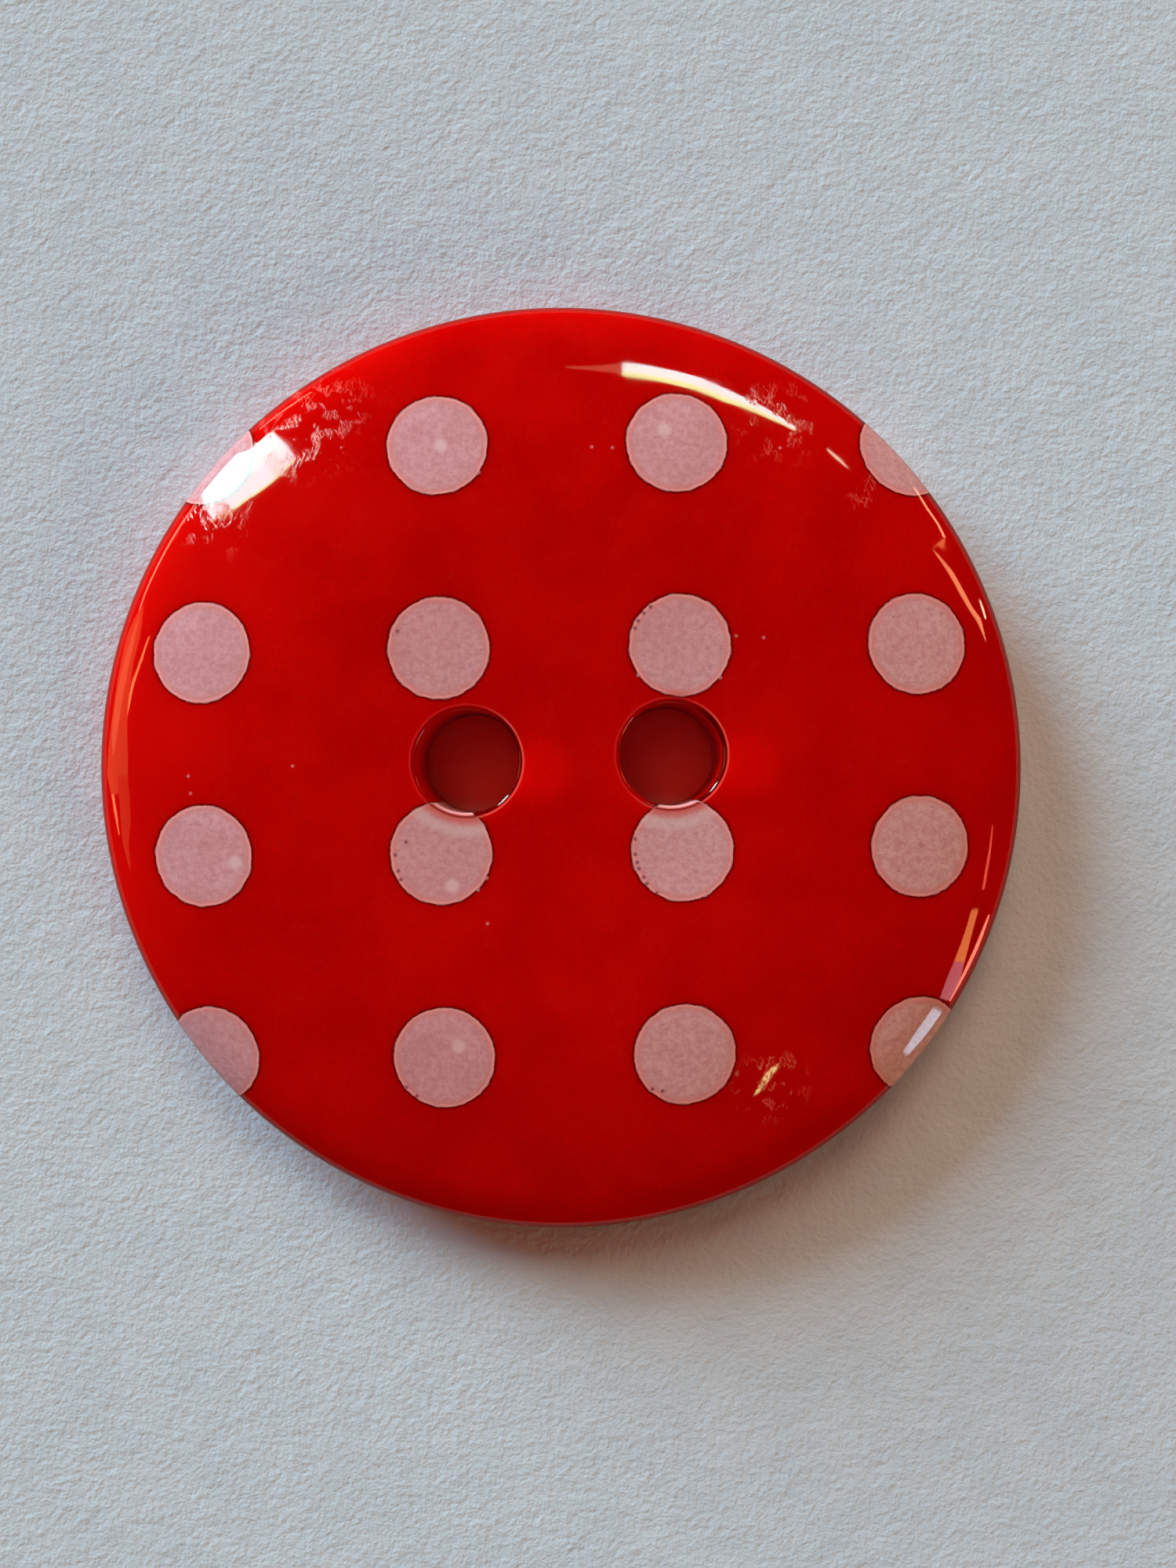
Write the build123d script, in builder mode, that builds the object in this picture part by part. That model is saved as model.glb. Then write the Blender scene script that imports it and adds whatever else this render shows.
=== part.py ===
from build123d import *
from math import atan, cos, degrees, hypot, radians, sin
import os

# A sewing button, turned from a sheet of red resin that has round pockets filled with milky resin.
# The origin is on the button's axis at its back, +Z points out of the front, and rows run along X.

os.makedirs("parts", exist_ok=True)

# Outside of the disc
button_diameter = 28.0
thickness = 3.0

# Front, from the middle outwards: a flat, a shallow crown, a shoulder and a rounded rim
flat_diameter = 12.8
crown_rise = 0.69  # height of the flat above the foot of the crown
shoulder_width = 1.4  # from the foot of the crown out to the widest line
rim_slope = 35.0  # degrees from level, where the shoulder passes into the rim
rim_radius = 0.72

# Back
back_edge_radius = 0.9
least_band = 0.05  # upright band that is always left between rim and back edge

# Thread holes, drilled a little off the turned centre
hole_diameter = 3.0
hole_spacing = 5.97
hole_lip_radius = 0.12
hole_pair_x = 0.24
hole_pair_y = 0.25
hole_pair_turn = 2.0  # degrees

# Inlaid dots, on a grid that is set out from its corner dots, which the rim cuts
dot_diameter = 2.94
dot_rows = 4
dot_columns = 4
corner_inset = 0.177  # from the widest line in to the centre of a corner dot, on a grid that isn't shifted
corner_angle = 40.38  # degrees from X to a corner dot, seen from the middle of the grid
dot_grid_x = 0.0
dot_grid_y = 0.5
dot_grid_turn = 0.75  # degrees
backing = 1.1  # plain red resin left under each pocket
least_slice = 0.3  # a dot that reaches into the disc by less than this is left out

# Worked out: the arcs of the front meet with no corner between them
button_radius = button_diameter / 2
flat_radius = flat_diameter / 2
crown_width = button_radius - shoulder_width - flat_radius
crown_slope = degrees(2 * atan(crown_rise / crown_width))
crown_radius = crown_width / sin(radians(crown_slope))
rim_width = rim_radius * (1 - sin(radians(rim_slope)))
shoulder_turn = sin(radians(rim_slope)) - sin(radians(crown_slope))
shoulder_radius = (shoulder_width - rim_width) / shoulder_turn
shoulder_drop = shoulder_radius * (cos(radians(crown_slope)) - cos(radians(rim_slope)))
rim_drop = rim_radius * cos(radians(rim_slope))
widest_height = thickness - crown_rise - shoulder_drop - rim_drop
back_round = min(back_edge_radius, widest_height - least_band)


# The plain turned disc, before it is drilled
with BuildPart() as blank:
    with BuildSketch(Plane.XZ):
        with BuildLine():
            face = Line((0, thickness), (flat_radius, thickness))
            crown = JernArc(face @ 1, face % 1, crown_radius, -crown_slope)
            shoulder = JernArc(crown @ 1, crown % 1, shoulder_radius, crown_slope - rim_slope)
            rim = JernArc(shoulder @ 1, shoulder % 1, rim_radius, rim_slope - 90)
            band = Line(rim @ 1, (button_radius, back_round))
            back_edge = JernArc(band @ 1, band % 1, back_round, -90)
            back = Line(back_edge @ 1, (0, 0))
            Line(back @ 1, face @ 0)
        make_face()
    revolve(axis=Axis.Z)


# What one thread hole takes away: a bore that opens with a rounded lip at both faces
hole_radius = hole_diameter / 2
mouth_radius = hole_radius + hole_lip_radius

with BuildPart() as thread_hole:
    with BuildSketch(Plane.XZ):
        with BuildLine():
            below = Line((0, -thickness), (mouth_radius, -thickness))
            below_wall = Line(below @ 1, (mouth_radius, 0))
            back_lip = JernArc(below_wall @ 1, (-1, 0), hole_lip_radius, -90)
            wall = Line(back_lip @ 1, (hole_radius, thickness - hole_lip_radius))
            front_lip = JernArc(wall @ 1, (0, 1), hole_lip_radius, -90)
            above_wall = Line(front_lip @ 1, (mouth_radius, 2 * thickness))
            above = Line(above_wall @ 1, (0, 2 * thickness))
            Line(above @ 1, below @ 0)
        make_face()
    revolve(axis=Axis.Z)


def turned(x, y, angle):
    """Turns a point about the button's axis by an angle in degrees."""
    point = Vector(x, y, 0).rotate(Axis.Z, angle)
    return point.X, point.Y


hole_centres = []
for side in (-1, 1):
    across, along = turned(side * hole_spacing / 2, 0, hole_pair_turn)
    hole_centres.append((hole_pair_x + across, hole_pair_y + along))

with BuildPart() as thread_holes:
    with Locations(*hole_centres):
        add(thread_hole.part)


# Where the dots lie: row 1 is at the top and column 1 on the left, and a dot wholly outside is left out
dot_radius = dot_diameter / 2
corner_distance = button_radius - corner_inset
dot_pitch_x = 2 * corner_distance * cos(radians(corner_angle)) / (dot_columns - 1)
dot_pitch_y = 2 * corner_distance * sin(radians(corner_angle)) / (dot_rows - 1)
dot_centres = {}
for row in range(dot_rows):
    for column in range(dot_columns):
        grid_x = dot_grid_x + (column - (dot_columns - 1) / 2) * dot_pitch_x
        grid_y = dot_grid_y + ((dot_rows - 1) / 2 - row) * dot_pitch_y
        if hypot(grid_x, grid_y) - dot_radius < button_radius - least_slice:
            dot_centres[f"dot_row{row + 1}_col{column + 1}"] = turned(grid_x, grid_y, dot_grid_turn)


# The red disc, with its thread holes and the flat-bottomed pockets
with BuildPart() as button_body:
    add(blank.part)
    with BuildSketch(Plane.XY.offset(backing)):
        with Locations(*dot_centres.values()):
            Circle(dot_radius)
    extrude(amount=thickness, mode=Mode.SUBTRACT)
    add(thread_holes.part, mode=Mode.SUBTRACT)

button_body.part.label = "button_body"
export_step(button_body.part, "parts/button_body.step")


# The milky inlays: each fills its pocket, follows the turned front and is cut by the same rim and holes
for name, centre in dot_centres.items():
    with BuildPart() as dot:
        with BuildSketch(Plane.XY.offset(backing)):
            with Locations(centre):
                Circle(dot_radius)
        extrude(amount=thickness)
        add(blank.part, mode=Mode.INTERSECT)
        add(thread_holes.part, mode=Mode.SUBTRACT)
    dot.part.label = name
    export_step(dot.part, f"parts/{name}.step")
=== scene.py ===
# %% [markdown]
# # A polka dot sewing button
#
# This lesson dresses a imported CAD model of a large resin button. The real one is turned from a sheet of
# red resin in which round pockets were filled with milky resin, and is then polished all over. So the look
# comes from three things: a very smooth crowned surface, two resins that let a little light in, and lamps
# whose outlines show in the gloss.

# %% Load the frame
from math import asin, atan2, cos, degrees, hypot, pi, radians, sin

import bmesh
import bpy
from mathutils import Matrix, Vector


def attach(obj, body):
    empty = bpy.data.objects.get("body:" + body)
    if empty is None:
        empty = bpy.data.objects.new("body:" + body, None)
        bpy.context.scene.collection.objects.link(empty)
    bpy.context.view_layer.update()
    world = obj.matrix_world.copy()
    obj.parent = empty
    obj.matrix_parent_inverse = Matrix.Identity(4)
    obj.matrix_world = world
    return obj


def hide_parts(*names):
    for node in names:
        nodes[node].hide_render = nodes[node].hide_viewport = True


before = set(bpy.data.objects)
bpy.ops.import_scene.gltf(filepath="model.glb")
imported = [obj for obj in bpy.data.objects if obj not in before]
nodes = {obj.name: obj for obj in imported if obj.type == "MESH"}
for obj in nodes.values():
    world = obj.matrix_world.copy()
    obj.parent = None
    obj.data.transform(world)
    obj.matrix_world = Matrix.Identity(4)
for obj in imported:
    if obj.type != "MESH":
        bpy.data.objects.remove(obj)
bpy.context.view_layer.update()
dot_names = sorted(name for name in nodes if name.startswith("dot_"))
print("CAD nodes:", len(nodes), "of which dots:", len(dot_names))

# %% [markdown]
# ## The turned shape
#
# A lathe leaves arcs that run into each other with no corner, and a polished surface shows the smallest
# kink as a broken highlight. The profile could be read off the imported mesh, but its facets are too coarse
# for gloss. It is built again here from the same few sizes, so that both the mesh and its normals can be
# exact.

# %% Sizes of the button
MM = 0.001
button_radius = 14 * MM
thickness = 3 * MM
flat_radius = 6.4 * MM
crown_rise = 0.69 * MM
shoulder_width = 1.4 * MM
rim_slope = radians(35)
rim_radius = 0.72 * MM
back_round = 0.9 * MM

crown_width = button_radius - shoulder_width - flat_radius
crown_slope = 2 * atan2(crown_rise, crown_width)
crown_radius = crown_width / sin(crown_slope)
rim_width = rim_radius * (1 - sin(rim_slope))
shoulder_radius = (shoulder_width - rim_width) / (sin(rim_slope) - sin(crown_slope))
crown_foot = flat_radius + crown_width
rim_start = button_radius - rim_width
print(f"crown radius {crown_radius / MM:.2f} mm, shoulder radius {shoulder_radius / MM:.2f} mm")


# %% Slope and height of the front at a distance from the axis
def front_at(radius):
    """Slope in radians and height of the turned front, at a distance from the axis."""
    height = thickness
    if radius <= flat_radius:
        return 0.0, height
    slope = asin(min(radius - flat_radius, crown_width) / crown_radius)
    height -= crown_radius * (1 - cos(slope))
    if radius <= crown_foot:
        return slope, height
    slope = asin(sin(crown_slope) + (min(radius, rim_start) - crown_foot) / shoulder_radius)
    height -= shoulder_radius * (cos(crown_slope) - cos(slope))
    if radius <= rim_start:
        return slope, height
    slope = asin(min(1.0, sin(rim_slope) + (radius - rim_start) / rim_radius))
    return slope, height - rim_radius * (cos(rim_slope) - cos(slope))


for radius in (0, flat_radius, crown_foot, rim_start, button_radius):
    slope, height = front_at(radius)
    print(f"at {radius / MM:.2f} mm: slope {degrees(slope):.1f} degrees, height {height / MM:.3f} mm")

# %% [markdown]
# ## The blank
#
# Before drilling, the button is a plain turned disc. Its half section is drawn as a chain of points:
# straight runs are single edges, and each arc is a spin of the last point about the arc's own centre. A
# second spin takes the whole chain round the button's axis. Keeping the count of steps high is cheap here,
# and lets the outline stay round in a close view.

# %% Chains of straight runs and arcs
TURN_STEPS = 238  # isn't a multiple of four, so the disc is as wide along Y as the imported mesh
MERGE_DISTANCE = 1e-7


def run_to(mesh, end, x, z):
    """Adds a straight edge from the chain's end to a new point, which is returned."""
    point = mesh.verts.new((x, 0, z))
    mesh.edges.new((end, point))
    return point


def bend(mesh, end, radius, lean, turn, steps):
    """Adds an arc. lean is the way the outward normal points where the arc starts, from up towards +X."""
    centre = end.co - radius * Vector((sin(lean), 0, cos(lean)))
    made = bmesh.ops.spin(mesh, geom=[end], cent=centre, axis=(0, 1, 0), angle=turn, steps=steps)
    return next(item for item in made["geom_last"] if isinstance(item, bmesh.types.BMVert))


def turn_round(mesh, steps, centre=(0, 0, 0)):
    """Turns the whole chain about an upright axis into a closed solid with its faces outwards."""
    bmesh.ops.spin(mesh, geom=mesh.verts[:] + mesh.edges[:], cent=centre, axis=(0, 0, 1),
                   angle=2 * pi, steps=steps, use_merge=True)
    bmesh.ops.remove_doubles(mesh, verts=mesh.verts, dist=MERGE_DISTANCE)
    bmesh.ops.recalc_face_normals(mesh, faces=mesh.faces)


def make_piece(name, mesh):
    """Hands a finished bmesh over to a new object of that name."""
    data = bpy.data.meshes.new(name)
    mesh.to_mesh(data)
    mesh.free()
    piece = bpy.data.objects.new(name, data)
    bpy.context.scene.collection.objects.link(piece)
    return piece


# %% Turn the blank
CROWN_STEPS = 16
EDGE_STEPS = 12

chain = bmesh.new()
axis_top = chain.verts.new((0, 0, thickness))
end = run_to(chain, axis_top, flat_radius, thickness)
end = bend(chain, end, crown_radius, 0, crown_slope, CROWN_STEPS)
end = bend(chain, end, shoulder_radius, crown_slope, rim_slope - crown_slope, EDGE_STEPS)
end = bend(chain, end, rim_radius, rim_slope, pi / 2 - rim_slope, EDGE_STEPS)
end = run_to(chain, end, button_radius, back_round)
end = bend(chain, end, back_round, pi / 2, pi / 2, EDGE_STEPS)
run_to(chain, end, 0, 0)
turn_round(chain, TURN_STEPS)
blank = make_piece("blank", chain)
print("blank:", len(blank.data.polygons), "faces, size in mm", [round(s / MM, 3) for s in blank.dimensions])

# %% [markdown]
# ## Thread holes
#
# The two holes are drilled and their lips rounded over, because a sharp lip would cut the thread. What one
# hole takes away is again a turned shape, so it is spun in the same way, and then cut out with a Boolean
# modifier.

# %% Cutters for the thread holes
hole_radius = 1.5 * MM
lip_radius = 0.12 * MM
HOLE_STEPS = 96
LIP_STEPS = 8
hole_centres = [(-2.74318 * MM, 0.14583 * MM), (3.22318 * MM, 0.35417 * MM)]


def hole_cutter(name, centre):
    """The bore of one hole, widened by a rounded lip at both faces of the disc."""
    mesh = bmesh.new()
    mouth = hole_radius + lip_radius
    end = mesh.verts.new((0, 0, -thickness))
    end = run_to(mesh, end, mouth, -thickness)
    end = run_to(mesh, end, mouth, 0)
    end = bend(mesh, end, lip_radius, pi, pi / 2, LIP_STEPS)
    end = run_to(mesh, end, hole_radius, thickness - lip_radius)
    end = bend(mesh, end, lip_radius, -pi / 2, pi / 2, LIP_STEPS)
    end = run_to(mesh, end, mouth, 2 * thickness)
    run_to(mesh, end, 0, 2 * thickness)
    turn_round(mesh, HOLE_STEPS)
    bmesh.ops.translate(mesh, verts=mesh.verts, vec=(*centre, 0))
    return make_piece(name, mesh)


hole_cutters = [hole_cutter(f"hole_cutter_{i}", centre) for i, centre in enumerate(hole_centres)]
for cutter in hole_cutters:
    xs = [v.co.x / MM for v in cutter.data.vertices]
    zs = sorted({round(v.co.z / MM, 2) for v in cutter.data.vertices})
    print(cutter.name, "x", round(min(xs), 2), round(max(xs), 2), "z", zs)

# %% [markdown]
# ## Red disc and milky inlays
#
# In the workshop the milky resin is poured into pockets and both are turned together, so the front of a dot
# is flush with the red round it, and the rim and the holes cut through both. Booleans copy that order of
# work: each dot is the part of an upright column that lies in the drilled blank, and the red disc is what is
# left.

# %% Columns of milky resin
dot_radius = 1.47 * MM
dot_backing = 1.1 * MM
dot_pitch = Vector((7.01991 * MM, 5.97019 * MM, 0))
dot_grid_centre = Vector((0, 0.5 * MM, 0))
dot_grid_turn = radians(0.75)
GRID_MIDDLE = 2.5  # halfway between the second and the third of four
DOT_STEPS = 128


def dot_centre(row, column):
    """Row 1 is at the top and column 1 on the left."""
    on_grid = Vector(((column - GRID_MIDDLE) * dot_pitch.x, (GRID_MIDDLE - row) * dot_pitch.y, 0))
    return Matrix.Rotation(dot_grid_turn, 3, "Z") @ (on_grid + dot_grid_centre)


def column_at(name, centre):
    """An upright column from the pocket floor to above the front."""
    mesh = bmesh.new()
    base = bmesh.ops.create_circle(mesh, cap_ends=True, segments=DOT_STEPS, radius=dot_radius)
    bmesh.ops.translate(mesh, verts=base["verts"], vec=(centre.x, centre.y, dot_backing))
    raised = bmesh.ops.extrude_face_region(mesh, geom=mesh.faces[:])["geom"]
    raised = [item for item in raised if isinstance(item, bmesh.types.BMVert)]
    bmesh.ops.translate(mesh, verts=raised, vec=(0, 0, thickness))
    bmesh.ops.recalc_face_normals(mesh, faces=mesh.faces)
    return make_piece(name, mesh)


def cut(piece, operation, *tools):
    """Runs Boolean modifiers and keeps what they give as the piece's own mesh."""
    for tool in tools:
        modifier = piece.modifiers.new("cut", "BOOLEAN")
        modifier.operation, modifier.object, modifier.solver = operation, tool, "MANIFOLD"
    shaped = piece.evaluated_get(bpy.context.evaluated_depsgraph_get())
    data = bpy.data.meshes.new_from_object(shaped)
    piece.modifiers.clear()
    piece.data = data


def put_away(*pieces):
    """Removes pieces that were only tools."""
    for piece in pieces:
        bpy.data.objects.remove(piece)


# %% Cut the pieces
dots = {}
for name in dot_names:
    row, column = (int(part[-1]) for part in name.split("_")[1:])
    dots[name] = column_at(name + "_inlay", dot_centre(row, column))

cut(blank, "DIFFERENCE", *hole_cutters)
red_disc = bpy.data.objects.new("red_disc", blank.data.copy())
bpy.context.scene.collection.objects.link(red_disc)
cut(red_disc, "DIFFERENCE", *dots.values())
for dot in dots.values():
    cut(dot, "INTERSECT", blank)
put_away(blank, *hole_cutters)
for piece in (red_disc, *dots.values()):
    print(piece.name, len(piece.data.polygons), "faces")

# %% [markdown]
# ## Polish
#
# Cut meshes have faces of many sizes, and normals averaged over them would dent the reflections. The true
# direction of the turned surface is known at every point, so it is written into the corners of the front
# faces. Everywhere else an average is fine, with the edges steeper than thirty degrees kept sharp.

# %% Write the turned surface's normals
SHARP_ANGLE = radians(30)
FRONT_ANGLE = radians(15)  # a face that leans further from the turned surface is a wall or a lip
FRONT_GAP = 0.003 * MM  # and so is a point that lies further from it


def polish(piece):
    """Smooth shading, with exact normals on the turned front."""
    data = piece.data
    data.shade_smooth()
    data.set_sharp_from_angle(angle=SHARP_ANGLE)
    normals = [corner.vector.copy() for corner in data.corner_normals]
    on_front = 0
    for face in data.polygons:
        for corner in face.loop_indices:
            point = data.vertices[data.loops[corner].vertex_index].co
            radius = hypot(point.x, point.y)
            slope, height = front_at(radius)
            outwards = Vector((point.x, point.y, 0)).normalized()
            turned = sin(slope) * outwards + Vector((0, 0, cos(slope)))
            if abs(point.z - height) < FRONT_GAP and face.normal.dot(turned) > cos(FRONT_ANGLE):
                normals[corner] = turned
                on_front += 1
    data.normals_split_custom_set(normals)
    return on_front


for piece in (red_disc, *dots.values()):
    print(piece.name, polish(piece), "front corners of", len(piece.data.loops))

# %% [markdown]
# ## Node helpers
#
# A material is a small program, and long lists of nodes are hard to read. These helpers keep each step on
# one line. Patterns are measured in millimetres from the button's own axis, so a number in a material can be
# checked with a ruler. Colours are red, green, blue and alpha in linear light.

# %% Short ways to add nodes
def node(tree, kind, inputs=None, **settings):
    """Adds a node. An input is a value or the socket that feeds it."""
    made = tree.nodes.new(kind)
    for name, value in settings.items():
        setattr(made, name, value)
    for name, value in (inputs or {}).items():
        if isinstance(value, bpy.types.NodeSocket):
            tree.links.new(value, made.inputs[name])
        else:
            made.inputs[name].default_value = value
    return made.outputs[0] if made.outputs else None


def maths(tree, operation, a, b=0.0):
    """One step of arithmetic on two numbers, each a socket or a value."""
    return node(tree, "ShaderNodeMath", {0: a, 1: b}, operation=operation)


def vector_maths(tree, operation, a, b=(0, 0, 0)):
    """One step of arithmetic on two vectors, which gives a vector or a number."""
    made = node(tree, "ShaderNodeVectorMath", {0: a, 1: b}, operation=operation)
    return made.node.outputs["Value"] if operation in ("LENGTH", "DISTANCE", "DOT_PRODUCT") else made


def joined(tree, operation, values):
    """Joins a list of numbers by an operation on two, such as MAXIMUM."""
    total, *others = values
    for value in others:
        total = maths(tree, operation, total, value)
    return total


def fade(tree, value, low, high, start=0.0, stop=1.0):
    """Goes smoothly from start to stop as value passes from low to high."""
    limits = {"Value": value, "From Min": low, "From Max": high, "To Min": start, "To Max": stop}
    return node(tree, "ShaderNodeMapRange", limits, interpolation_type="SMOOTHSTEP")


def band(tree, value, low, high, soft, strength=1.0):
    """Strength between low and high, falling smoothly to zero over a soft distance outside them."""
    rise = fade(tree, value, low - soft, low, 0.0, strength)
    return maths(tree, "MULTIPLY", rise, fade(tree, value, high, high + soft, 1.0, 0.0))


def mix(tree, factor, a, b):
    """Mixes two colours, each a socket or a tuple."""
    made = node(tree, "ShaderNodeMix", {0: factor, 6: a, 7: b}, data_type="RGBA")
    return made.node.outputs[2]


def noise(tree, where, scale, detail=2.0, roughness=0.5):
    """Soft random values about one half, with the scale in waves per millimetre."""
    return node(tree, "ShaderNodeTexNoise", {"Vector": where, "Scale": scale, "Detail": detail,
                                             "Roughness": roughness})


# %% Places on the button, in millimetres
LAST_CELL = 1.999  # just inside the second cell from the grid's middle


def in_millimetres(tree):
    """Place on the object itself."""
    place = node(tree, "ShaderNodeTexCoord").node.outputs["Object"]
    return node(tree, "ShaderNodeVectorMath", {0: place, "Scale": 1 / MM}, operation="SCALE")


def seen_from_above(tree, place):
    """The same place with its height left out."""
    return vector_maths(tree, "MULTIPLY", place, (1, 1, 0))


def along_axis(tree, place, axis):
    """The X, Y or Z of a place."""
    return node(tree, "ShaderNodeSeparateXYZ", {"Vector": place}).node.outputs[axis]


def nearest_of(tree, flat_place, points):
    """Distance from the nearest of some points of the front."""
    away = [vector_maths(tree, "DISTANCE", flat_place, (*point, 0)) for point in points]
    return joined(tree, "MINIMUM", away)


def from_dot(tree, place):
    """Distance from the nearest dot's centre. Cells end at the grid's edge: no dot repeats outside it."""
    grid = {"Vector": place, "Location": dot_centre(GRID_MIDDLE, GRID_MIDDLE) / MM,
            "Rotation": (0, 0, dot_grid_turn), "Scale": (*dot_pitch.xy / MM, 1)}
    cells = node(tree, "ShaderNodeMapping", grid, vector_type="TEXTURE")
    on_grid = vector_maths(tree, "MINIMUM", cells, (LAST_CELL, LAST_CELL, 1))
    on_grid = vector_maths(tree, "MAXIMUM", on_grid, (-LAST_CELL, -LAST_CELL, 0))
    inside = vector_maths(tree, "SUBTRACT", vector_maths(tree, "FRACTION", on_grid), (0.5, 0.5, 0))
    return vector_maths(tree, "LENGTH", vector_maths(tree, "MULTIPLY", inside, dot_pitch / MM))


def ragged(tree, place, distance, depth=0.06):
    """The same distance, pushed in and out a little, as where a cutter chattered."""
    chatter = noise(tree, place, 2.6, detail=4, roughness=0.6)
    return maths(tree, "ADD", distance, fade(tree, chatter, 0.25, 0.75, -depth / 2, depth / 2))


# %% Distances that both resins use
LIT_DIRECTION = (0.87, -0.5, 0)
hole_places = [(x / MM, y / MM) for x, y in hole_centres]


def measured(tree):
    """Place, place without height, distance from a dot's centre and distance from a hole's axis."""
    place = in_millimetres(tree)
    flat_place = seen_from_above(tree, place)
    dot_edge = ragged(tree, place, from_dot(tree, place))
    return place, flat_place, dot_edge, nearest_of(tree, flat_place, hole_places)


def lit_side(tree, flat_place):
    """Nearly one to the lower right of a hole, and faint on the side that turns from the light."""
    lit = []
    for centre in hole_places:
        from_centre = vector_maths(tree, "SUBTRACT", flat_place, (*centre, 0))
        near = fade(tree, vector_maths(tree, "LENGTH", from_centre), 1.8, 2.0, 1.0, 0.0)
        towards = vector_maths(tree, "DOT_PRODUCT", from_centre, LIT_DIRECTION)
        lit.append(maths(tree, "MULTIPLY", near, fade(tree, towards, -0.6, 1.0, 0.12, 0.9)))
    return joined(tree, "MAXIMUM", lit)


def spots(tree, flat_place, points, core, edge, strength):
    """Small round spots, even out to a core radius and gone at an edge radius."""
    return fade(tree, nearest_of(tree, flat_place, points), core, edge, strength, 0.0)


print("holes at", [tuple(round(c, 2) for c in centre) for centre in hole_places], "mm")

# %% [markdown]
# ## Polish and scuffs
#
# Both resins carry one polish. It is tight, so lamps keep sharp outlines in it, with soft waves left by the
# polishing wheel. Handling has scratched it where the shoulder rubs. A scratch is a thin line, a little
# rougher than the polish, and in the red its pale tint is partly its own and partly painted sheen, where the
# real one catches the lamps. Thin lines are drawn where a stretched noise passes through one half: such
# lines are long, slightly curved and never closed in a neat way.

# %% Lines of scratches
SCRATCH_SETS = [(74, 7.0, 0.9, 0.035), (118, 6.0, 1.1, 0.028)]  # turn in degrees, stretch, scale, width
SCUFFED_PLACES = [((-7.6, 10.4), 2.4), ((-10.3, 7.3), 1.5), ((6.4, 10.2), 1.6), ((8.9, 8.2), 0.8),
                  ((6.2, -9.4), 1.4)]


def direction(azimuth, elevation):
    """Points from the button to a place that far round and that high up, both in degrees."""
    a, e = radians(azimuth), radians(elevation)
    return Vector((cos(a) * cos(e), sin(a) * cos(e), sin(e)))


def scratch_lines(tree, place, turn, stretch, scale, width):
    """Thin lines along one direction, broken into lengths."""
    along, across = direction(turn, 0), direction(turn + 90, 0)
    squeezed = maths(tree, "MULTIPLY", stretch, vector_maths(tree, "DOT_PRODUCT", place, across))
    turned = node(tree, "ShaderNodeCombineXYZ", {"X": vector_maths(tree, "DOT_PRODUCT", place, along),
                                                 "Y": squeezed})
    off_line = maths(tree, "ABSOLUTE", maths(tree, "SUBTRACT", noise(tree, turned, scale, detail=3), 0.5))
    breaks = fade(tree, noise(tree, place, 1.9, detail=2), 0.52, 0.57)
    return maths(tree, "MULTIPLY", fade(tree, off_line, 0.0, width, 1.0, 0.0), breaks)


def scuffs(tree, place, flat_place):
    """One on a scratch and zero beside it: many where the button was rubbed, next to none elsewhere."""
    rubbed = []
    for centre, reach in SCUFFED_PLACES:
        away = vector_maths(tree, "DISTANCE", flat_place, (*centre, 0))
        rubbed.append(fade(tree, away, 0.4 * reach, reach, 1.0, 0.03))
    lines = [scratch_lines(tree, place, *settings) for settings in SCRATCH_SETS]
    return maths(tree, "MULTIPLY", joined(tree, "MAXIMUM", lines), joined(tree, "MAXIMUM", rubbed))


def polish_nodes(tree, place, scratches, tight, dull):
    """Roughness and normal of the polish. Only waves and scratches disturb it."""
    smudge = fade(tree, noise(tree, place, 0.6, detail=5, roughness=0.65), 0.35, 0.75, tight, dull)
    gloss = maths(tree, "ADD", smudge, maths(tree, "MULTIPLY", scratches, 0.02))
    wave = node(tree, "ShaderNodeBump", {"Height": noise(tree, place, 0.45, detail=1), "Strength": 0.2,
                                         "Distance": 0.012 * MM})
    grooves = node(tree, "ShaderNodeBump", {"Height": scratches, "Normal": wave, "Strength": 0.25,
                                            "Distance": -0.004 * MM})
    return gloss, grooves


print("scuffed places:", len(SCUFFED_PLACES))

# %% Set up a resin's shader
RESIN_IOR = 1.54


def new_finish(name):
    """A material with only a Principled shader, its node tree and that shader."""
    finish = bpy.data.materials.new(name)
    finish.use_nodes = True
    return finish, finish.node_tree, finish.node_tree.nodes["Principled BSDF"]


def fill_shader(tree, shader, colour, gloss, grooves, scatter, reach, depth):
    """Connects colour and polish, and scatters a share of the light to a depth that differs by colour."""
    for name, socket in (("Base Color", colour), ("Roughness", gloss), ("Normal", grooves)):
        tree.links.new(socket, shader.inputs[name])
    shader.inputs["IOR"].default_value = RESIN_IOR
    shader.inputs["Subsurface Weight"].default_value = scatter
    shader.inputs["Subsurface Radius"].default_value = reach
    shader.inputs["Subsurface Scale"].default_value = depth
    print(len(tree.nodes), "nodes")


# %% [markdown]
# ## Red resin
#
# Cast polyester is clear red plastic with pigment in it. Light goes in a little way and comes out redder, so
# the thin wall beside a hole glows where the light falls into the hole. Subsurface scattering gives a part
# of that, with red travelling much further than green and blue. The rest is painted light: a brighter red
# beside each hole and towards the window, and a bright wall and a pale line at each hole's mouth. A dark
# line of painted shade runs round each dot, where the pocket's wall shades the resin, another round the rim,
# and one on each hole's lip.

# %% Mix the red resin
red_resin, tree, shader = new_finish("red_resin")
place, flat_place, dot_edge, hole_distance = measured(tree)
deep_red, clear_red = (0.62, 0.0005, 0.0002, 1), (0.70, 0.0016, 0.0007, 1)
speck_red = (0.42, 0.0003, 0.0002, 1)

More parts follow.
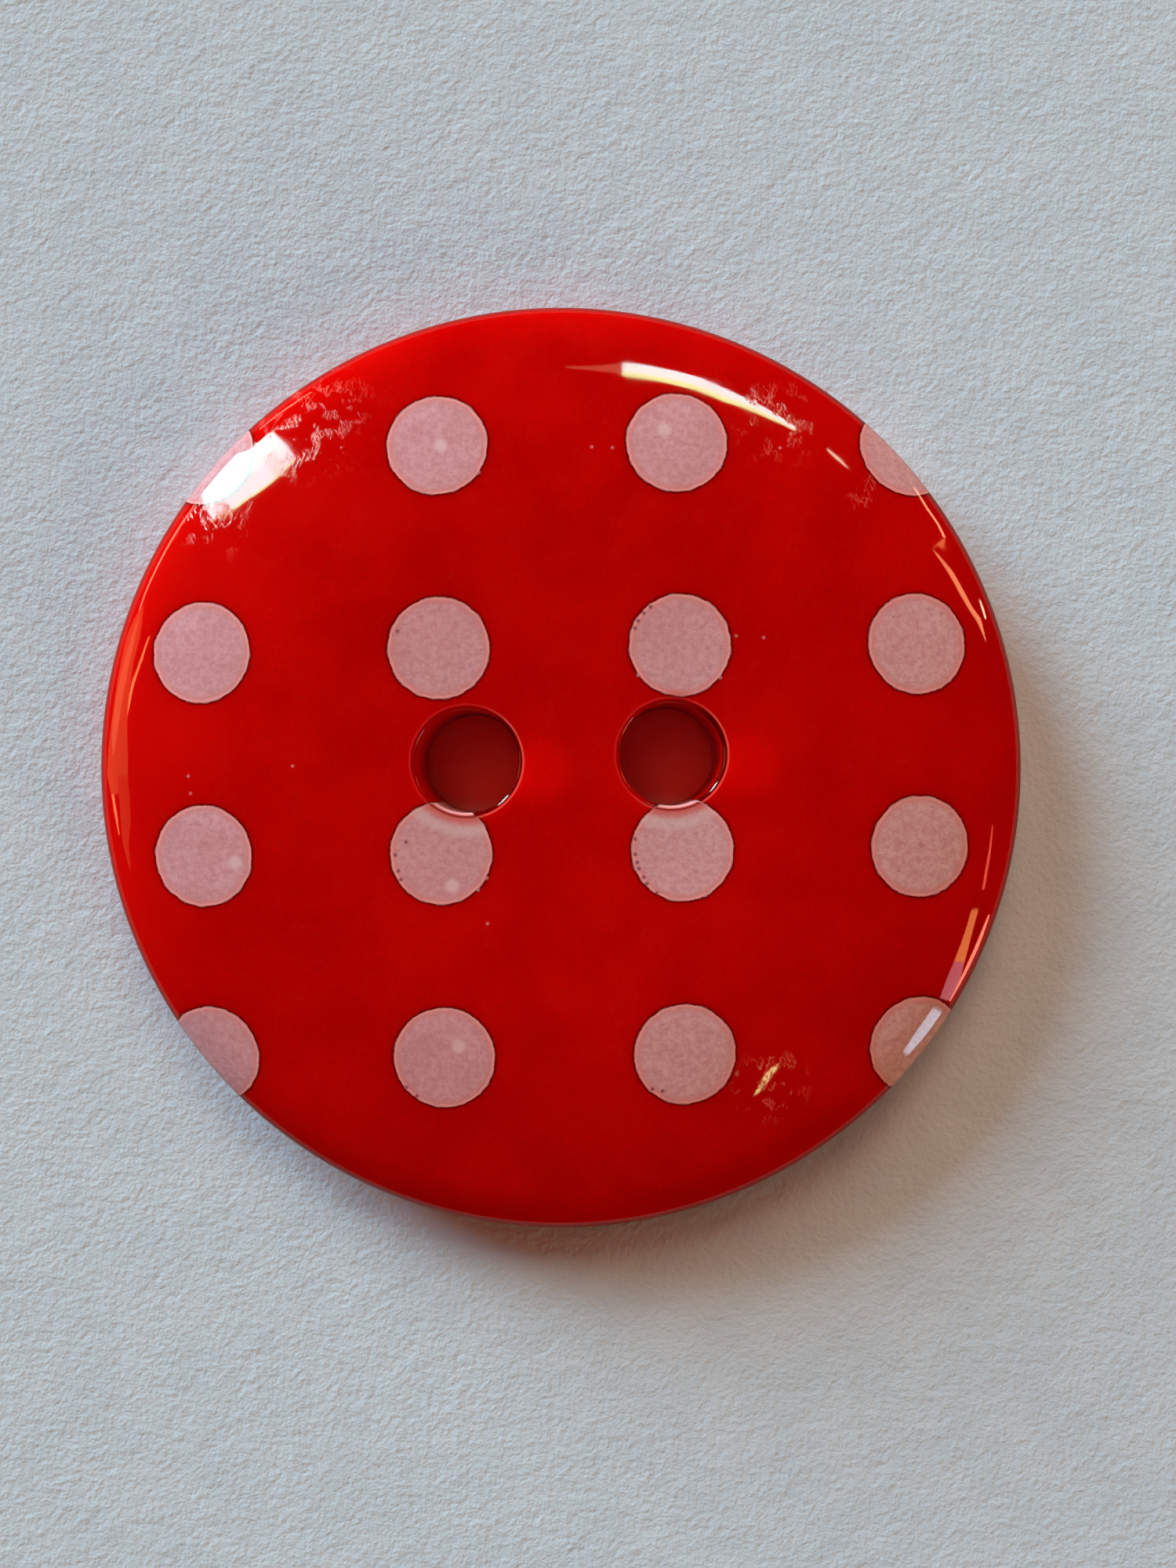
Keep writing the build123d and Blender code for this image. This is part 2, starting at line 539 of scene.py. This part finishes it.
cloud = noise(tree, place, 0.35, detail=3)
colour = mix(tree, fade(tree, cloud, 0.35, 0.65), deep_red, clear_red)
speck = noise(tree, place, 9.0, detail=4, roughness=0.7)
colour = mix(tree, fade(tree, speck, 0.35, 0.7, 0.0, 0.30), colour, speck_red)
print("red, green and blue from", deep_red[:3], "to", clear_red[:3])

# %% Painted light: a brighter red beside each hole, and towards the window
glow_offset = (2.15, -0.3)
to_window = (-0.94, 0.34, 0)
glow_painted_red, window_painted_light = (0.99, 0.0020, 0.0010, 1), (0.82, 0.0025, 0.0010, 1)

glow_places = [(x + glow_offset[0], y + glow_offset[1]) for x, y in hole_places]
colour = mix(tree, spots(tree, flat_place, glow_places, 0.35, 1.35, 0.42), colour, glow_painted_red)
window_side = vector_maths(tree, "DOT_PRODUCT", place, to_window)
colour = mix(tree, fade(tree, window_side, 7, 12.5, 0.0, 0.5), colour, window_painted_light)
print("glows at", [tuple(round(c, 2) for c in centre) for centre in glow_places], "mm")

# %% Dark lines round the dots and the rim
pocket_shade, rim_shade = (0.16, 0.0004, 0.0002, 1), (0.14, 0.002, 0.001, 1)

colour = mix(tree, band(tree, dot_edge, 1.50, 1.525, 0.05, 0.65), colour, pocket_shade)
axis_distance = vector_maths(tree, "LENGTH", flat_place)
height = along_axis(tree, place, "Z")
on_shoulder = fade(tree, height, 1.3, 1.5)
rim_line = maths(tree, "MULTIPLY", band(tree, axis_distance, 13.77, 13.93, 0.05, 0.5), on_shoulder)
colour = mix(tree, rim_line, colour, rim_shade)
print("nodes so far:", len(tree.nodes))

# %% Thread holes: painted light on the wall, painted shade on the lip and a painted highlight outside it
lit_wall_painted_red, lip_painted_shade, mouth_painted_highlight = (0.99, 0.0004, 0.0002, 1), (0.10, 0.0005, 0.0003, 1), (0.98, 0.11, 0.09, 1)

in_hole = fade(tree, hole_distance, 1.51, 1.53, 1.0, 0.0)
wall = maths(tree, "MULTIPLY", in_hole, fade(tree, height, 2.75, 2.90, 1.0, 0.0))
colour = mix(tree, wall, colour, lit_wall_painted_red)
towards_light = lit_side(tree, flat_place)
# Painted shade: the lip is painted dark, darkest on the lower right
on_lip = fade(tree, hole_distance, 1.595, 1.64, 1.0, 0.0)
lip = maths(tree, "MULTIPLY", on_lip, fade(tree, height, 2.78, 2.86))
lip = maths(tree, "MULTIPLY", lip, fade(tree, towards_light, 0.1, 0.8, 0.45, 0.97))
colour = mix(tree, lip, colour, lip_painted_shade)
# Painted highlight: a thin pale line outside the lip, strongest on the lower right
outside_lip = band(tree, hole_distance, 1.64, 1.67, 0.025)
mouth = maths(tree, "MULTIPLY", outside_lip, fade(tree, height, 2.9, 2.95))
colour = mix(tree, maths(tree, "MULTIPLY", mouth, towards_light), colour, mouth_painted_highlight)
print("nodes so far:", len(tree.nodes))

# %% Nicks, marks and scratches in the red
milk_nicks = [(-2.16, -3.24), (-2.41, -3.58), (-2.40, 8.58), (-10.95, 1.95), (2.25, 2.66), (4.63, 2.59)]
bright_marks = [(-10.94, -0.28), (-10.87, -0.79), (-7.80, 0.01), (-2.13, -4.57), (0.90, 9.34), (1.50, 9.32),
                (6.45, 9.40), (5.10, 3.80), (5.90, 3.75)]
milk, scratch_and_painted_sheen = (0.95, 0.27, 0.25, 1), (0.96, 0.10, 0.07, 1)

milky = [fade(tree, dot_edge, 1.475, 1.495, 0.9, 0.0), spots(tree, flat_place, milk_nicks, 0.03, 0.08, 0.8),
         spots(tree, flat_place, bright_marks, 0.02, 0.07, 0.6)]
colour = mix(tree, joined(tree, "MAXIMUM", milky), colour, milk)
scratches = scuffs(tree, place, flat_place)
# The pale tint on the scratches is partly their own and partly painted sheen
colour = mix(tree, maths(tree, "MULTIPLY", scratches, 0.7), colour, scratch_and_painted_sheen)
gloss, grooves = polish_nodes(tree, place, scratches, 0.02, 0.05)
fill_shader(tree, shader, colour, gloss, grooves, 0.8, (1.0, 0.08, 0.05), 1.0 * MM)

# %% [markdown]
# ## Milky resin
#
# The filling is a white resin that has taken up some of the red round it, so it is pink and slightly cloudy.
# A close look shows grain, a salmon line along the edge, painted light for the red light that comes through
# the pocket's wall, and dark pits on the left, where bubbles stayed in the pour and were opened by the
# lathe.
# Beside a thread hole the filling is thin and goes red, with a dark line of painted shade on the lip. The
# dots towards the lower right are painted paler, as painted light.

# %% Mix the milky resin
milky_resin, tree, shader = new_finish("milky_resin")
place, flat_place, dot_edge, hole_distance = measured(tree)
deep_pink, clear_pink = (0.74, 0.312, 0.295, 1), (0.81, 0.362, 0.352, 1)
middle_pink, lower_right_painted_light = (0.72, 0.385, 0.36, 1), (0.84, 0.47, 0.42, 1)

cloud = noise(tree, place, 0.8, detail=3)
colour = mix(tree, fade(tree, cloud, 0.3, 0.7), deep_pink, clear_pink)
colour = mix(tree, fade(tree, hole_distance, 2.0, 4.5, 0.35, 0.0), colour, middle_pink)
# Painted light: the dots towards the lower right are painted paler
to_lower_right = vector_maths(tree, "DOT_PRODUCT", place, (0.9, -0.44, 0))
colour = mix(tree, fade(tree, to_lower_right, 0, 12, 0.0, 0.6), colour, lower_right_painted_light)
print("red, green and blue from", deep_pink[:3], "to", clear_pink[:3])

# %% Grain, flecks and pale bubbles
pale_bubbles = [(-3.52, 9.40), (3.02, 9.88), (-9.52, -2.80), (-3.15, -3.47), (-2.98, -8.16)]
grain_pink, fleck_pink, bubble_pink = (0.60, 0.185, 0.185, 1), (0.46, 0.14, 0.15, 1), (0.88, 0.50, 0.47, 1)

grain = noise(tree, place, 5.0, detail=5, roughness=0.85)
colour = mix(tree, fade(tree, grain, 0.40, 0.60, 0.55, 0.0), colour, grain_pink)
streaked = node(tree, "ShaderNodeMapping", {"Vector": place, "Scale": (2.2, 6.0, 1)})
fleck = noise(tree, streaked, 1.6, detail=3)
colour = mix(tree, fade(tree, fleck, 0.60, 0.70, 0.0, 0.30), colour, fleck_pink)
colour = mix(tree, spots(tree, flat_place, pale_bubbles, 0.10, 0.28, 0.7), colour, bubble_pink)
print("pale bubbles:", len(pale_bubbles))

# %% The edge of a dot, and its pits
pits = [(2.61, 4.64), (2.41, 4.46), (2.25, 4.23), (2.16, 4.02), (2.16, -2.11), (2.16, -2.56), (2.22, -2.79),
        (2.27, -2.97), (2.41, -3.22), (2.50, -3.41), (2.79, -3.68), (-4.81, -2.58), (-4.72, -3.04),
        (-4.65, -3.29), (-4.50, -2.20), (-4.86, 4.32), (-4.75, 3.93), (-4.54, -9.40), (-4.22, -9.65),
        (2.67, -9.43), (2.97, -9.50)]
near_edge, edge_painted_glow = (0.80, 0.23, 0.20, 1), (1.0, 0.33, 0.28, 1)
wall_shade, pit_dark = (0.35, 0.008, 0.006, 1), (0.26, 0.05, 0.07, 1)

colour = mix(tree, fade(tree, dot_edge, 1.20, 1.38, 0.0, 0.6), colour, near_edge)
# Painted glow: a salmon line inside the edge, for red light through the pocket's wall; then painted shade, a
# dark rim where the wall shades the filling
colour = mix(tree, fade(tree, dot_edge, 1.395, 1.42, 0.0, 1.0), colour, edge_painted_glow)
colour = mix(tree, fade(tree, dot_edge, 1.475, 1.495, 0.0, 0.95), colour, wall_shade)
colour = mix(tree, spots(tree, flat_place, pits, 0.03, 0.08, 0.80), colour, pit_dark)
print("pits:", len(pits))

# %% Where a thread hole cuts the filling
crescent_pink, thin_red = (0.84, 0.52, 0.47, 1), (0.74, 0.10, 0.07, 1)
lip_line_painted_shade, lip_pink = (0.30, 0.01, 0.01, 1), (0.85, 0.45, 0.42, 1)

below_holes = fade(tree, along_axis(tree, place, "Y"), -1, 0, 1, 0)
crescent = maths(tree, "MULTIPLY", band(tree, hole_distance, 1.95, 2.10, 0.2, 0.4), below_holes)
colour = mix(tree, crescent, colour, crescent_pink)
colour = mix(tree, fade(tree, hole_distance, 1.64, 1.98, 0.85, 0.0), colour, thin_red)
# Painted shade: a dark line on the lip, where it turns down into the bore
colour = mix(tree, band(tree, hole_distance, 1.60, 1.64, 0.03, 0.8), colour, lip_line_painted_shade)
colour = mix(tree, fade(tree, hole_distance, 1.54, 1.58, 0.5, 0.0), colour, lip_pink)
gloss, grooves = polish_nodes(tree, place, scuffs(tree, place, flat_place), 0.03, 0.07)
fill_shader(tree, shader, colour, gloss, grooves, 0.15, (1.0, 0.4, 0.35), 0.15 * MM)

# %% [markdown]
# ## Dress the frame
#
# Each piece stands for one CAD node, which is hidden, rides on the button's only body, and gets one finish.

# %% Put the pieces on the frame
def give_finish(piece, finish):
    """One finish for the whole piece. Booleans leave an empty slot behind, so slots are cleared first."""
    piece.data.materials.clear()
    piece.data.materials.append(finish)
    piece.data.polygons.foreach_set("material_index", [0] * len(piece.data.polygons))


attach(red_disc, "root")
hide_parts("button_body")
give_finish(red_disc, red_resin)
for name, dot in dots.items():
    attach(dot, "root")
    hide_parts(name)
    give_finish(dot, milky_resin)
print("dressed", 1 + len(dots), "pieces")

# %% [markdown]
# ## Floor and backdrop
#
# A plain pale sheet with a faint grain, large enough to fill every view, and a pale dome round it. The dome
# is only there for a camera that looks along the floor, so it neither lights the button nor shows in its
# gloss. Next to the button the sheet is painted a little red, as painted light for the red that the button
# throws on it. In the gloss it is darker than it is for the camera, as if the sheet ended a short way off.

# %% Lay the floor
DOME_RADIUS = 1.4
FLOOR_DROP = 0.02 * MM  # a hair below the back, so that the two don't share a plane
sheet_dark, sheet_light = (0.63, 0.65, 0.668, 1), (0.663, 0.677, 0.69, 1)
sheet_painted_red_bounce, sheet_in_gloss = (0.75, 0.30, 0.28, 1), (0.32, 0.26, 0.22, 1)

sheet = bmesh.new()
bmesh.ops.create_circle(sheet, cap_ends=True, segments=64, radius=1.05 * DOME_RADIUS)
bmesh.ops.translate(sheet, verts=sheet.verts, vec=(0, 0, -FLOOR_DROP))
floor = make_piece("floor", sheet)
pale_floor, tree, shader = new_finish("pale_floor")
place = in_millimetres(tree)
mottle = noise(tree, place, 0.5, detail=3)
sheet_colour = mix(tree, fade(tree, mottle, 0.35, 0.65), sheet_dark, sheet_light)
# Painted light: a red tint near the button, for the red light it throws on the sheet
red_bounce_near_button = fade(tree, vector_maths(tree, "LENGTH", place), 6, 12, 0.8, 0.0)
sheet_colour = mix(tree, red_bounce_near_button, sheet_colour, sheet_painted_red_bounce)
in_gloss = node(tree, "ShaderNodeLightPath").node.outputs["Is Glossy Ray"]
sheet_colour = mix(tree, in_gloss, sheet_colour, sheet_in_gloss)
floor.data.materials.append(pale_floor)
print("floor", round(floor.dimensions.x, 2), "m across")

# %% Give the floor its grain
grain = noise(tree, place, 5.0, detail=4, roughness=0.6)
swell = node(tree, "ShaderNodeBump", {"Height": noise(tree, place, 1.6, detail=2), "Strength": 0.3,
                                      "Distance": 0.12 * MM})
bumps = node(tree, "ShaderNodeBump", {"Height": grain, "Normal": swell, "Strength": 0.6,
                                      "Distance": 0.075 * MM})
tree.links.new(sheet_colour, shader.inputs["Base Color"])
tree.links.new(bumps, shader.inputs["Normal"])
shader.inputs["Roughness"].default_value = 0.95
shader.inputs["Specular IOR Level"].default_value = 0.1
print("floor:", len(tree.nodes), "nodes")


# %% Put up the dome
def glowing(name, colour, strength):
    """A material that only glows, but not onto dull surfaces, so it throws no stray light."""
    glow = bpy.data.materials.new(name)
    glow.use_nodes = True
    tree = glow.node_tree
    tree.nodes.clear()
    bounces = node(tree, "ShaderNodeLightPath").node.outputs["Diffuse Depth"]
    shown = maths(tree, "MULTIPLY", maths(tree, "LESS_THAN", bounces, 0.5), strength)
    light = node(tree, "ShaderNodeEmission", {"Color": (*colour, 1), "Strength": shown})
    node(tree, "ShaderNodeOutputMaterial", {"Surface": light})
    return glow


dome = bmesh.new()
bmesh.ops.create_uvsphere(dome, u_segments=64, v_segments=32, radius=DOME_RADIUS)
backdrop = make_piece("backdrop", dome)
backdrop.data.materials.append(glowing("backdrop", (0.95, 0.98, 1.0), 0.5))
backdrop.visible_diffuse = backdrop.visible_glossy = backdrop.visible_shadow = False
print("dome", 2 * DOME_RADIUS, "m across")

# %% [markdown]
# ## Lamps
#
# Gloss shows the outline of every lamp, so their shapes matter more than their number. A lamp here is a
# ribbon on a large sphere. Its two edges are given in degrees of azimuth and elevation, as they are seen
# from the place on the button, in millimetres, where the ribbon is mirrored. Light that should only fill
# the shadows comes from area lamps that the gloss doesn't see.

# %% Shaped lamps that the gloss mirrors
LAMP_DISTANCE = 4.0


def shaped_lamp(name, seen_at, edge, far_edge, colour, strength, distance=LAMP_DISTANCE):
    """A glowing ribbon between two edges with as many points, which only shows in reflections."""
    mesh = bmesh.new()
    centre = Vector(seen_at) * MM
    for points in (edge, far_edge):
        row = [mesh.verts.new(centre + distance * direction(*point)) for point in points]
        for a, b in zip(row, row[1:]):
            mesh.edges.new((a, b))
    bmesh.ops.bridge_loops(mesh, edges=mesh.edges[:])
    lamp = make_piece(name, mesh)
    lamp.data.materials.append(glowing(name, colour, strength))
    lamp.visible_camera = lamp.visible_diffuse = lamp.visible_shadow = False


# %% The large window at the upper left
WINDOW_SEEN_AT = (-9.2, 8.6, 2.3)
window_outside = [(142.7, 6.2), (141.2, 6.2), (139.6, 6.2), (137.9, 6.4), (136.1, 6.8), (135.2, 13.6),
                  (134.4, 17.7), (132.6, 17.5), (130.9, 18.3)]
window_middle = [(144.0, 28.6), (142.5, 30.6), (140.3, 34.3), (137.7, 37.8), (136.6, 41.2), (135.5, 44.0),
                 (134.5, 43.8), (132.4, 44.0), (130.8, 44.1)]
window_inside = [(144.6, 41.4), (143.7, 44.0), (141.4, 45.1), (139.1, 45.8), (138.2, 46.2), (137.1, 46.4),
                 (135.6, 46.7), (133.2, 46.8), (131.0, 46.6)]
window_sill = [(144.7, 42.0), (143.8, 44.4), (141.4, 45.4), (139.2, 46.1), (138.2, 46.5), (137.2, 46.7),
               (135.7, 47.0), (133.2, 47.1), (131.0, 46.9)]

shaped_lamp("window", WINDOW_SEEN_AT, window_outside, window_middle, (0.60, 1.0, 0.98), 20.5)
shaped_lamp("window_lower_half", WINDOW_SEEN_AT, window_middle, window_inside, (0.58, 0.97, 1.0), 18.5)
shaped_lamp("window_sill", WINDOW_SEEN_AT, window_inside, window_sill, (0.57, 1.0, 0.35), 19)
print("window of", len(window_outside), "points along each edge")

# %% The long arc at the top, and the short dash that carries it on
ARC_SEEN_AT = (4.4, 11.1, 2.4)
arc_top = [(83.1, 46.9), (79.1, 46.6), (72.6, 46.3), (66.9, 46.6), (62.3, 46.5), (57.1, 46.7)]
arc_middle = [(83.0, 48.5), (78.5, 48.2), (72.6, 47.9), (67.4, 47.9), (62.8, 47.6), (56.9, 47.1)]
arc_bottom = [(82.9, 49.3), (78.2, 49.0), (72.6, 48.7), (67.5, 48.7), (63.0, 48.2), (56.8, 47.3)]

shaped_lamp("arc", ARC_SEEN_AT, arc_top, arc_middle, (0.6, 1.0, 0.95), 18.5)
shaped_lamp("arc_lower_edge", ARC_SEEN_AT, arc_middle, arc_bottom, (0.6, 1.0, 0.42), 18.5)
shaped_lamp("arc_dim_end", (1.0, 11.8, 2.5),
            [(90.9, 48.2), (86.7, 48.0), (83.1, 47.1)],
            [(90.9, 48.4), (86.7, 48.8), (82.9, 48.9)],
            (1.0, 0.5, 0.3), 2.2)
shaped_lamp("dash", (8.2, 9.2, 2.4),
            [(52.1, 46.6), (50.2, 46.8), (48.2, 46.7)],
            [(52.1, 46.4), (50.1, 46.3), (48.2, 46.5)],
            (0.9, 1.0, 0.7), 12)
print("arc from", arc_top[-1][0], "to", arc_top[0][0], "degrees")

# %% Streaks on the right shoulder
shaped_lamp("right_line", (11.1, 7.6, 2.0),
            [(39.7, 9.3), (36.5, 13.0), (34.0, 12.8), (32.2, 15.5)],
            [(39.6, 6.6), (36.5, 9.8), (34.0, 9.6), (32.1, 11.8)],
            (1.0, 0.45, 0.22), 13)
shaped_lamp("right_hook", (11.3, 6.6, 2.1),
            [(32.1, 12.6), (31.6, 18.1), (31.1, 23.1)],
            [(32.1, 21.4), (32.1, 31.6), (31.9, 38.5)],
            (1.0, 0.31, 0.11), 7)
shaped_lamp("right_streak", (12.0, 5.1, 2.1),
            [(31.8, 37.6), (27.8, 33.7), (24.9, 31.9), (22.3, 28.1), (20.6, 23.6), (17.7, 20.6)],
            [(31.4, 35.5), (27.9, 27.5), (25.2, 25.5), (22.7, 23.0), (20.7, 16.6), (17.6, 19.6)],
            (1.0, 0.40, 0.17), 10.5)
shaped_lamp("right_white", (12.6, 4.7, 2.0),
            [(23.0, 8.5), (21.6, 10.1), (20.4, 10.7)],
            [(23.0, 6.5), (21.6, 6.1), (20.4, 8.1)],
            (0.87, 1.0, 0.63), 11)

# %% Streaks at the lower right, and one bright spot at the bottom
shaped_lamp("low_right_faint", (12.7, -3.1, 2.2),
            [(-6.8, 32.2), (-10.3, 31.1), (-13.0, 30.2), (-15.7, 27.3)],
            [(-6.8, 30.6), (-10.3, 27.9), (-13.0, 26.3), (-15.6, 23.9)],
            (1.0, 0.16, 0.10), 8.3)
shaped_lamp("low_right_orange", (12.1, -5.1, 2.1),
            [(-18.6, 33.1), (-21.3, 30.7), (-23.6, 29.3), (-25.9, 27.4)],
            [(-18.3, 23.6), (-21.0, 21.2), (-23.2, 17.6), (-25.6, 12.5)],
            (1.0, 0.34, 0.10), 7.5)
shaped_lamp("low_right_pink", (11.7, -6.4, 2.0),
            [(-25.9, 27.4), (-28.7, 24.9), (-31.2, 19.5)],
            [(-25.6, 12.5), (-27.9, 6.4), (-30.9, 3.6)],
            (1.0, 0.46, 0.53), 3.4)
shaped_lamp("low_right_bright", (12.3, -5.7, 1.9),
            [(-18.5, 6.0), (-21.1, 7.5), (-22.8, 7.5), (-24.9, 7.5), (-30.9, 5.0)],
            [(-18.6, 3.0), (-21.0, 2.0), (-22.9, 1.5), (-25.0, 1.5), (-30.9, 2.0)],
            (1.0, 0.32, 0.20), 11)
shaped_lamp("low_right_dot", (10.8, -7.9, 2.0),
            [(-32.7, 21.0), (-36.2, 21.4), (-39.7, 18.0)],
            [(-32.7, 4.4), (-36.2, 5.2), (-39.7, 8.1)],
            (0.58, 0.8, 1.0), 6.4)
shaped_lamp("bottom_spot", (6.1, -9.2, 2.6),
            [(-60.4, 53.6), (-58.4, 54.9), (-56.9, 55.8), (-55.5, 56.1), (-54.2, 55.8)],
            [(-60.5, 53.5), (-58.4, 53.9), (-57.0, 54.6), (-55.8, 55.1), (-54.3, 55.7)],
            (1.0, 0.9, 0.35), 14.2)

# %% Lines on the left shoulder
shaped_lamp("rim_line_top", (-8.3, 10.7, 1.9),
            [(124.0, 6.0), (126.6, 4.5), (129.1, 3.0), (131.9, 2.0)],
            [(124.0, 8.0), (126.6, 7.0), (129.1, 5.5), (131.9, 4.0)],
            (1.0, 0.39, 0.25), 9)
shaped_lamp("rim_line_left", (-12.0, 6.1, 1.9),
            [(144.0, 6.0), (148.1, 5.2), (153.4, 5.2), (157.6, 6.0), (161.1, 9.2)],
            [(144.0, 8.7), (148.1, 8.2), (153.4, 8.0), (157.6, 8.3), (161.1, 10.5)],
            (1.0, 0.39, 0.25), 9)
shaped_lamp("left_line", (-12.6, 2.5, 2.2),
            [(161.9, 33.7), (165.1, 31.7), (168.1, 27.5), (171.7, 26.5), (173.2, 26.0)],
            [(161.8, 35.8), (165.1, 34.9), (168.1, 31.4), (171.7, 29.8), (173.2, 27.7)],
            (1.0, 0.36, 0.13), 9.8)
shaped_lamp("left_low_line", (-13.3, -1.1, 2.0),
            [(179.8, 6.5), (182.8, 8.1), (185.3, 10.5), (187.7, 12.8)],
            [(179.8, 8.5), (182.7, 12.0), (185.2, 14.3), (187.7, 14.0)],
            (1.0, 0.36, 0.13), 9)

# %% A soft band on the left shoulder, with a brighter core in front of it
CORE_DISTANCE = 0.95 * LAMP_DISTANCE

shaped_lamp("left_band", (-13.0, 2.3, 2.1),
            [(158.6, 10.3), (160.6, 4.2), (162.5, 2.1), (165.5, 3.6), (168.4, 5.0), (171.4, 5.7),
             (174.3, 5.0), (177.2, 3.0), (180.2, 1.6), (182.6, 7.2)],
            [(158.6, 12.2), (160.6, 19.1), (162.5, 23.2), (165.4, 23.8), (168.3, 26.1), (171.3, 27.7),
             (174.2, 30.5), (177.1, 33.2), (180.0, 33.8), (182.6, 25.6)],
            (1.0, 0.30, 0.10), 2.0)
shaped_lamp("left_band_core", (-13.1, 2.3, 2.0),
            [(160.1, 10.3), (163.5, 9.7), (167.4, 8.4), (171.4, 7.8), (175.3, 7.8), (177.7, 11.1)],
            [(160.1, 12.3), (163.5, 17.3), (167.4, 18.5), (171.3, 18.5), (175.3, 16.1), (177.7, 12.4)],
            (1.0, 0.40, 0.16), 3.2, CORE_DISTANCE)
shaped_lamp("left_band_foot", (-13.0, -1.6, 2.2),
            [(180.2, 18.6), (183.1, 19.8), (186.0, 19.2), (189.0, 16.8), (192.4, 19.9)],
            [(180.0, 33.2), (183.0, 34.8), (185.9, 33.3), (188.9, 25.6), (192.4, 21.0)],
            (1.0, 0.26, 0.10), 1.3, CORE_DISTANCE)
print("ribbons on a sphere", 2 * LAMP_DISTANCE, "m across")

# %% Fill lamps that the gloss doesn't see
FILLS = {  # azimuth, elevation, power and colour
    "sky_fill": (135, 12, 423.6, (0.44, 0.79, 1.0)),
    "back_fill": (90, 35, 73.2, (1.0, 0.87, 0.67)),
    "front_fill": (315, 12, 55.2, (1.0, 0.83, 0.53)),
    "near_fill": (270, 12, 8.4, (1.0, 0.75, 0.10)),
    "side_fill": (40, 35, 14.4, (0.7, 1.0, 0.85)),
    "overhead_fill": (125, 60, 22.5, (1.0, 0.06, 0.03)),
}


def fill_lamp(name, azimuth, elevation, power, colour):
    """A square lamp half as wide as its distance."""
    data = bpy.data.lights.new(name, "AREA")
    data.shape, data.size, data.energy, data.color = "SQUARE", LAMP_DISTANCE / 2, power, colour
    lamp = bpy.data.objects.new(name, data)
    lamp.location = direction(azimuth, elevation) * LAMP_DISTANCE
    lamp.rotation_euler = direction(azimuth, elevation).to_track_quat("Z", "Y").to_euler()
    lamp.visible_glossy = lamp.visible_camera = False
    bpy.context.scene.collection.objects.link(lamp)


for name, settings in FILLS.items():
    fill_lamp(name, *settings)
print("fill lamps:", len(FILLS))

# %% Nearly dark surroundings, and plain colours in the picture
surroundings = bpy.data.worlds.new("surroundings")
bpy.context.scene.world = surroundings
surroundings.use_nodes = True
background = surroundings.node_tree.nodes["Background"]
background.inputs["Color"].default_value = (0.9, 0.92, 1.0, 1)
background.inputs["Strength"].default_value = 0.001
bpy.context.scene.view_settings.view_transform = "Standard"
print("view transform:", bpy.context.scene.view_settings.view_transform)

# %% [markdown]
# ## Camera
#
# The picture is taken from straight above, very close. Place and tilt come from fitting a pinhole camera to
# the outline, the dots and the hole mouths.

# %% Set up the camera
CAMERA_PLACE = Vector((0.6337, -0.5597, 37.2765)) * MM
TILT_ABOUT_X = radians(-0.0792)
TILT_ABOUT_Y = radians(0.258)
FOCAL_PIXELS, LONG_SIDE = 1504, 2000

camera_data = bpy.data.cameras.new("camera")
camera_data.sensor_width = 36
camera_data.lens = FOCAL_PIXELS / LONG_SIDE * camera_data.sensor_width
camera_data.clip_start, camera_data.clip_end = 0.001, 10
camera = bpy.data.objects.new("camera", camera_data)
camera_tilt = Matrix.Rotation(TILT_ABOUT_X, 3, "X") @ Matrix.Rotation(TILT_ABOUT_Y, 3, "Y")
camera.matrix_world = Matrix.LocRotScale(CAMERA_PLACE, camera_tilt.inverted(), None)
bpy.context.scene.collection.objects.link(camera)
bpy.context.scene.camera = camera
print("camera at", [round(c / MM, 2) for c in camera.location], "mm")
print("lens of", round(camera_data.lens, 2), "mm")
